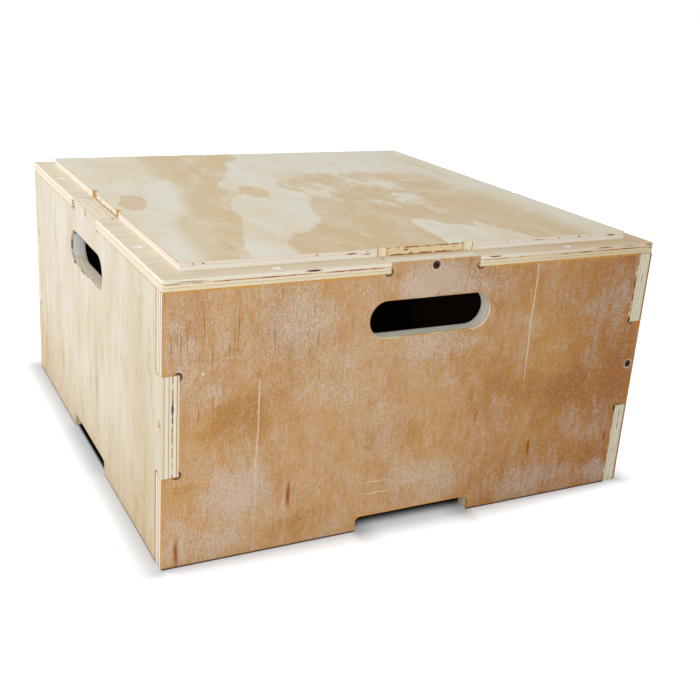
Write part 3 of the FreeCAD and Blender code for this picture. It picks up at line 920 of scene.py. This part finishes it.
topLook = {
    "ply": topHigh.z - topLow.z,
    "top": topHigh.z,
    "reach": topHigh.x,
    "sap": (228, 223, 207),
    "sapWarm": (225, 215, 190),
    "heart": (214, 191, 149),
    "heartDark": (198, 165, 115),
    "patch": (208, 178, 138),
    "burn": (164, 104, 40),
    "gold": (248, 222, 166),
    # painted highlight along the top arris of the front and back edges, and painted light at their
    # foot against the shade where they meet the rim
    "paintedEdgeLight": (255, 246, 232),
    "bone": (254, 240, 210),
    "boneScorched": (220, 178, 98),
    "dashes": [
        (-90, 317.4, 9, 1.3, 1.6), (-72, 316, 8, 1.0, 1.2), (254, 318, 9, 1.4, 1.6),
        (150, 318.5, 14, 0.7, 1.0),
    ],
    "frontRim": -250,
    "boneInset": 53.3,  # round reliefs at the ends of each recess
    "boneSetback": 277.0,
    "boneRadius": 5.0,
    "recess": (61, 57),  # the router went over this much either way of each tab's middle
    "rough": 0.55,
    "bump": 0.2,
    "grain": {
        "bands": ((14, 150, 150), 4, 0.60, 3),
        "fibre": ((1.2, 44, 44), 4, 0.60, 5),
        "warm": ((90, 220, 200), 2, 0.55, 7),
    },
    # outlines as (front to back, across) in millimetres
    "firstHeartRight": [
        (-276, -203), (-212, -186), (-182, -174), (-145, -159), (-112, -149), (-74, -145), (-45, -136),
        (-12, -117), (13, -99), (30, -110), (63, -113), (97, -90), (142, -70), (176, -55), (197, -51),
        (230, -20), (276, -15),
    ],
    "firstHeartLeft": [
        (-276, -240), (-178, -230), (-120, -218), (-78, -190), (-37, -180), (30, -163), (80, -155),
        (142, -168), (197, -155), (276, -147),
    ],
    "secondHeartLeft": [
        (-276, -147), (-203, -122), (-191, -97), (-178, -84), (-141, -59), (-95, -47), (-53, -30),
        (-12, -13), (22, -30), (113, -13), (276, 40),
    ],
    "secondHeartRight": [(-276, 214), (-150, 216), (-60, 206), (20, 200), (120, 196), (276, 190)],
    # how far back the second figure goes, as (across, reach)
    "secondHeartTop": [
        (-276, 112), (-13, 112), (4, 84), (26, 88), (45, 112), (64, 140), (74, 172), (84, 130),
        (96, 92), (114, 96), (136, 124), (158, 92), (180, 96), (200, 118), (276, 90),
    ],
    # the pale tongue at the front, as (across, how far back it reaches)
    "tongue": [
        (-276, -276), (26, -276), (36, -214), (43, -170), (57, -161), (70, -174), (78, -194),
        (95, -198), (106, -210), (119, -188), (126, -220), (138, -250), (150, -276), (276, -276),
    ],
    "patchSpot": [(-252, -30, 20, 38, 1.0), (-243, -4, 20, 34, 1.0)],
    "heartSpots": [(-80, 13, 24, 42, 1.0)],
    "streaks": [
        (244, 138, 14, 74, 0.8), (228, -120, 20, 26, 0.5), (240, -165, 14, 24, 0.6),
        (166, 200, 10, 60, 0.35), (34, 210, 8, 30, 0.35), (-225, 150, 10, 40, 0.35),
        (-205, 100, 12, 40, 0.35), (-245, 110, 10, 30, 0.3), (250, -40, 16, 60, 0.4),
        (215, 10, 14, 50, 0.4),
    ],
    "darkStreaks": [
        (124, -26, 9, 30, 0.7), (78, -68, 8, 34, 0.7), (95, -115, 8, 30, 0.7), (89, -172, 7, 16, 0.5),
        (162, -140, 10, 52, 0.7), (170, -255, 12, 30, 0.7), (-12, -150, 8, 40, 0.5),
        (20, -60, 8, 40, 0.5), (-207, -205, 3, 74, 0.7), (2.5, -20, 3, 8, 1.3), (-140, 40, 8, 60, 0.4),
        (-110, 150, 8, 50, 0.4),
    ],
}


def pineFigure(place, seed):
    look = topLook
    low, high = -look["reach"], look["reach"]
    ragged = stir(place, (5, 30, 30), (7, 30, 8), seed)
    swayed = stir(place, (20, 40, 40), (16, 30, 8), seed + 25)
    folded = stir(place, (40, 50, 40), (40, 50, 10), seed + 21)
    across, along, _ = parts(ragged)
    bands, fibre, warm = grains(place, look["grain"], seed)
    mottle = grain(swayed, (26, 58, 58), 5, 0.6, seed + 27)
    lobes = grain(folded, (44, 70, 70), 3, 0.55, seed + 9)

    def beyond(value, against, outline, softness, way):
        # 1 on the side of an outline that way points to
        gap = minus(value, bound(against, look[outline], low, high))
        return fade(times(gap, way), -softness, softness)

    first = times(
        beyond(across, along, "firstHeartRight", 2.5, -1),
        beyond(across, along, "firstHeartLeft", 22, 1),
    )
    tongue = beyond(along, across, "tongue", 2.5, -1)
    second = times(
        beyond(across, along, "secondHeartLeft", 7, 1),
        beyond(across, along, "secondHeartRight", 40, -1),
        beyond(along, across, "secondHeartTop", 30, -1),
        minus(1.0, tongue),
    )
    # the figure breaks up into lobes towards the back
    backward = fade(along, -210, 60)
    over = minus(lobes, scaleAdd(backward, 0.15, 0.33))
    second = times(second, fade(over, -0.05, 0.03), 0.9)
    folds = times(second, fade(over, 0.075, 0.095), 0.30)
    knotty = fade(spots(ragged, look["heartSpots"], (0, 1)), 0.1, 0.3)
    heart = largest(first, second, knotty)
    border = times(heart, minus(1.0, heart), 0.9)

    colour = tint(fade(warm, 0.4, 0.65), look["sap"], look["sapWarm"])
    faint = times(spots(ragged, look["streaks"], (0, 1)), 0.6)
    colour = tint(faint, colour, look["heart"])
    colour = tint(times(fade(mottle, 0.46, 0.72), 0.38), colour, look["heart"])
    uneven = scaleAdd(fade(mottle, 0.30, 0.66), 0.75, 0.32)
    colour = tint(times(heart, uneven), colour, look["heart"])
    banded = times(fade(bands, 0.52, 0.75), 0.45)
    streaked = times(spots(ragged, look["darkStreaks"], (0, 1)), 0.7)
    dark = times(heart, sums("ADD", banded, streaked))
    waves = times(heart, fade(sums("PINGPONG", lobes, 0.035), 0.024, 0.033), 0.35)
    colour = tint(largest(dark, waves, folds), colour, look["heartDark"])
    colour = tint(border, colour, look["heartDark"])
    plug = fade(spots(ragged, look["patchSpot"], (0, 1)), 0.12, 0.2)
    colour = tint(times(plug, 0.7), colour, look["patch"])
    colour = tint(times(fade(fibre, 0.48, 0.76), 0.45), colour, look["heart"])
    return colour, fibre


def topMaterial(name, seed):
    made, shader = newMaterial(name)
    look = topLook
    place, normal = millimetrePlace()
    across, along, height = parts(place)
    through = scaleAdd(height, -1 / look["ply"], look["top"] / look["ply"])
    facing = looksAlong(normal, 2)
    colour, fibre = pineFigure(place, seed)
    ends, streak = plyEdge(place, through, topPlies, seed + 11)
    # the router has scorched the edge where it cut for the tabs
    sideways, lengthways = absolute(across), absolute(along)
    nearTab = sums("MINIMUM", sideways, lengthways)
    routed = fade(nearTab, *look["recess"])
    endways = fade(absolute(parts(normal)[1]), 0.4, 0.8)
    # thin bands at the top and foot of the edge: painted highlight on the arris and painted light
    # against the shade at the foot
    edgeLightBands = largest(fade(through, 0.14, 0.08), fade(through, 0.82, 0.90))
    ends = tint(times(edgeLightBands, endways, 0.7), ends, look["paintedEdgeLight"])
    ends = tint(times(routed, between(endways, 0.25, 0.75)), ends, look["gold"])
    scorch = grain(place, (9, 9, 4), 3, 0.6, seed + 13)
    crest = times(fade(through, 0.22, 0.10), endways)
    foot = largest(fade(through, 0.74, 0.97), crest)
    beside = sums("GREATER_THAN", sideways, lengthways)
    scorched = scaleAdd(foot, between(beside, 0.20, 0.36), scorch)
    scorched = times(routed, fade(scorched, 0.54, 0.68))
    ends = tint(scorched, ends, look["burn"])
    fine = stir(place, (5, 5, 2), (5, 5, 0.8), seed + 15)
    onFront = sums("LESS_THAN", along, look["frontRim"])
    ends = tint(times(spots(fine, look["dashes"]), onFront), ends, look["burn"])
    colour = tint(facing, ends, colour)
    # round reliefs, with a scorched ring on the face
    fromBone = addNode("ShaderNodeCombineXYZ")
    feed(fromBone.inputs[0], minus(nearTab, look["boneInset"]))
    feed(fromBone.inputs[1], minus(largest(sideways, lengthways), look["boneSetback"]))
    rim = minus(vectors("LENGTH", fromBone.outputs[0]), look["boneRadius"])
    inBone = times(fade(rim, 0.9, 0.5), minus(1.0, facing))
    boneTone = tint(beside, look["bone"], look["boneScorched"])
    colour = tint(inBone, colour, boneTone)
    ring = times(fade(rim, 1.9, 1.2), fade(rim, 0.3, 0.6), 0.7)
    colour = tint(ring, colour, look["burn"])
    dress(shader, colour, look["rough"], between(facing, streak, fibre), look["bump"])
    return made


# screws

screwLook = {
    "black": (24, 20, 19),
    "blackWorn": (128, 116, 112),
    "zinc": (238, 242, 248),
    "zincDull": (206, 208, 212),
    "yellow": (202, 178, 130),
    "yellowDull": (160, 132, 88),
    "bump": 0.05,
}


def screwMaterial(name, base, worn, metal, rough, seed):
    made, shader = newMaterial(name)
    place, _ = millimetrePlace()
    wear = grain(place, (1.1, 1.1, 1.1), 4, 0.6, seed)
    colour = tint(fade(wear, 0.50, 0.70), screwLook[base], screwLook[worn])
    shader.inputs["Metallic"].default_value = metal
    dress(shader, colour, scaleAdd(wear, 0.3, rough - 0.15), wear, screwLook["bump"])
    return made


materials = {
    "front_panel": wallMaterial("brownFaceFront", 0, "brown", 3.0, frontMarks),
    "right_panel": wallMaterial("brownFaceRight", 1, "brown", 61.0, rightMarks),
    "back_panel": wallMaterial("paleFaceBack", 2, "pale", 23.0, {}),
    "left_panel": wallMaterial("paleFaceLeft", 3, "pale", 37.0, leftMarks),
    "deck": deckMaterial("deckFace", 71.0),
    "top_board": topMaterial("pineFace", 83.0),
}
screws = {  # by the record's slot for each screw
    "black_screw": screwMaterial("blackScrew", "black", "blackWorn", 0.7, 0.42, 5.0),
    "tan_screw": screwMaterial("tanScrew", "yellow", "yellowDull", 0.4, 0.5, 7.0),
    "bright_screw": screwMaterial("brightScrew", "zinc", "zincDull", 0.5, 0.45, 9.0),
}
slots = {piece["node"]: piece["material_slot"] for piece in frame["record"]["subparts"]}

for name, node in frame["nodes"].items():
    finish = materials.get(name) or screws[slots[name]]
    node.data.materials.clear()
    node.data.materials.append(finish)
print("finishes:", len(bpy.data.materials), "materials on", len(frame["nodes"]), "pieces")


# stage, light and camera

stageLook = {
    "size": 30.0,
    "drop": 0.2 * millimetre,  # the floor is this far below the box's foot
    "floor": (240, 243, 248),  # a little cool, since the walls throw warm light on it
    # painted shade: the floor's colour under the box
    "underFloor": (14, 14, 15),  # hardly any light gets in under the box
    "underSpan": (0.006, 0.028),
    # painted contact shadow on the floor beside the box
    "contact": 0.26,  # how much darker the floor is right at the box
    "contactSpan": 0.025,
    "liftColour": (0.94, 0.98, 1.0, 1.0),
    "liftFront": 0.25,  # light added to what the camera sees of the floor, in front of the box
    "liftNotch": 0.30,  # at the mouth of a floor notch
    "liftNotchEnd": 0.04,
    "liftBeside": 0.07,
    "liftRight": 0.22,
    "liftFar": 0.75,
    "liftSpan": 0.085,
    "notchReach": (0.085, 0.070),
    "notchMiddle": (0.078, 0.036),
    "frontFrom": (0.1, -0.1),
    "frontFade": (1.0, 1.8, 0.0),  # the shadow in front of the box is shorter
    "rightFrom": 0.1,
    "rightFade": 0.8,  # and so is the one to the right
    "ambient": 0.50,
}


def seenDirectly():
    # 1 for what the camera sees, and for what it sees in gloss or glass
    path = addNode("ShaderNodeLightPath").outputs
    return largest(path["Is Camera Ray"], path["Is Glossy Ray"], path["Is Transmission Ray"])


def floorMaterial(name):
    # pale, with painted shade under the box, a painted contact shadow and light added round it
    made, shader = newMaterial(name)
    look = stageLook
    boxX, boxY, _ = cadBox[1]
    shader.inputs["Roughness"].default_value = 0.9
    shader.inputs["Specular IOR Level"].default_value = 0.0
    shader.inputs["Emission Color"].default_value = look["liftColour"]
    place = addNode("ShaderNodeTexCoord").outputs["Object"]
    across, along, _ = parts(place)
    pastBox = vectors("SUBTRACT", vectors("ABSOLUTE", place), (boxX, boxY, 0))
    pastX, pastY, _ = parts(pastBox)
    outward = vectors("MAXIMUM", pastBox, (0, 0, 0))
    frontward = addNode("ShaderNodeMix", data_type="VECTOR")
    feed(frontward.inputs[0], fade(along, *look["frontFrom"]))
    feed(frontward.inputs[4], outward)
    feed(frontward.inputs[5], vectors("MULTIPLY", outward, look["frontFade"]))
    onRight = fade(across, look["rightFrom"], boxX)
    fromBox = vectors("LENGTH", frontward.outputs[1])
    fromBox = times(fromBox, scaleAdd(onRight, look["rightFade"], 1.0))

    spanX, spanY = look["underSpan"]
    covered = times(fade(pastX, 0.0, -spanX), fade(pastY, 0.0, -spanY))
    touching = fade(fromBox, look["contactSpan"], 0.0)
    shade = largest(covered, times(touching, look["contact"]))
    feed(shader.inputs["Base Color"], tint(shade, look["floor"], look["underFloor"]))

    fromMiddle = absolute(across)
    atMiddle = fade(fromMiddle, *look["notchMiddle"])
    liftNotch = between(atMiddle, look["liftNotchEnd"], look["liftNotch"])
    liftNear = between(fade(fromMiddle, *look["notchReach"]), look["liftFront"], liftNotch)
    liftBeside = between(onRight, look["liftBeside"], look["liftRight"])
    liftNear = between(fade(pastX, -spanX, 0.0), liftNear, liftBeside)
    lift = between(fade(fromBox, 0.0, look["liftSpan"]), liftNear, look["liftFar"])
    lift = times(lift, minus(1.0, covered), seenDirectly())
    feed(shader.inputs["Emission Strength"], lift)
    return made


half = stageLook["size"] / 2
corners = [(-half, -half, 0), (half, -half, 0), (half, half, 0), (-half, half, 0)]
floorMesh = bpy.data.meshes.new("floor")
floorMesh.from_pydata(corners, [], [(0, 1, 2, 3)])
floorMesh.materials.append(floorMaterial("paleFloor"))
floor = bpy.data.objects.new("floor", floorMesh)
floor.location.z = -stageLook["drop"]
scene.collection.objects.link(floor)

world = bpy.data.worlds.new("studio")
scene.world = world
world.use_nodes = True
drawing["tree"] = world.node_tree
background = world.node_tree.nodes["Background"]
background.inputs["Color"].default_value = (1.0, 1.0, 1.0, 1.0)
shine = scaleAdd(seenDirectly(), 1.0 - stageLook["ambient"], stageLook["ambient"])
feed(background.inputs["Strength"], shine)

lamps = {  # place, size and watts of each soft lamp; all face the middle of the box
    "leftLamp": {"place": (-1.9, 1.2, 1.3), "size": 1.2, "watts": 17},
    "frontLamp": {"place": (-0.9, -1.6, 1.1), "size": 0.8, "watts": 8.5},
    "topLamp": {"place": (-0.9, 0.2, 2.1), "size": 1.4, "watts": 8},
}
boxMiddle = Vector((0.0, 0.0, 0.16))

for name, lamp in lamps.items():
    light = bpy.data.lights.new(name, "AREA")
    light.size = lamp["size"]
    light.energy = lamp["watts"]
    holder = bpy.data.objects.new(name, light)
    holder.location = lamp["place"]
    holder.rotation_euler = (boxMiddle - Vector(lamp["place"])).to_track_quat("-Z", "Y").to_euler()
    holder.visible_camera = False
    scene.collection.objects.link(holder)

view = {
    "place": (-0.5766, -1.1701, 0.5902),
    "pan": 26.70,  # degrees to the right of straight ahead
    "tilt": -19.40,
    "roll": 3.43,
    "sensor": 36.0,
    "lens": 52.3,
    "shift": (0.05, -0.0286),
}
camera = bpy.data.objects.new("camera", bpy.data.cameras.new("camera"))
camera.data.sensor_width = view["sensor"]
camera.data.lens = view["lens"]
camera.data.shift_x, camera.data.shift_y = view["shift"]
turn = Matrix.Rotation(math.radians(-view["pan"]), 4, "Z")
nod = Matrix.Rotation(math.radians(90 + view["tilt"]), 4, "X")
lean = Matrix.Rotation(math.radians(view["roll"]), 4, "Z")
camera.matrix_world = Matrix.Translation(view["place"]) @ turn @ nod @ lean
scene.collection.objects.link(camera)
scene.camera = camera
print("stage, lamps and camera set")
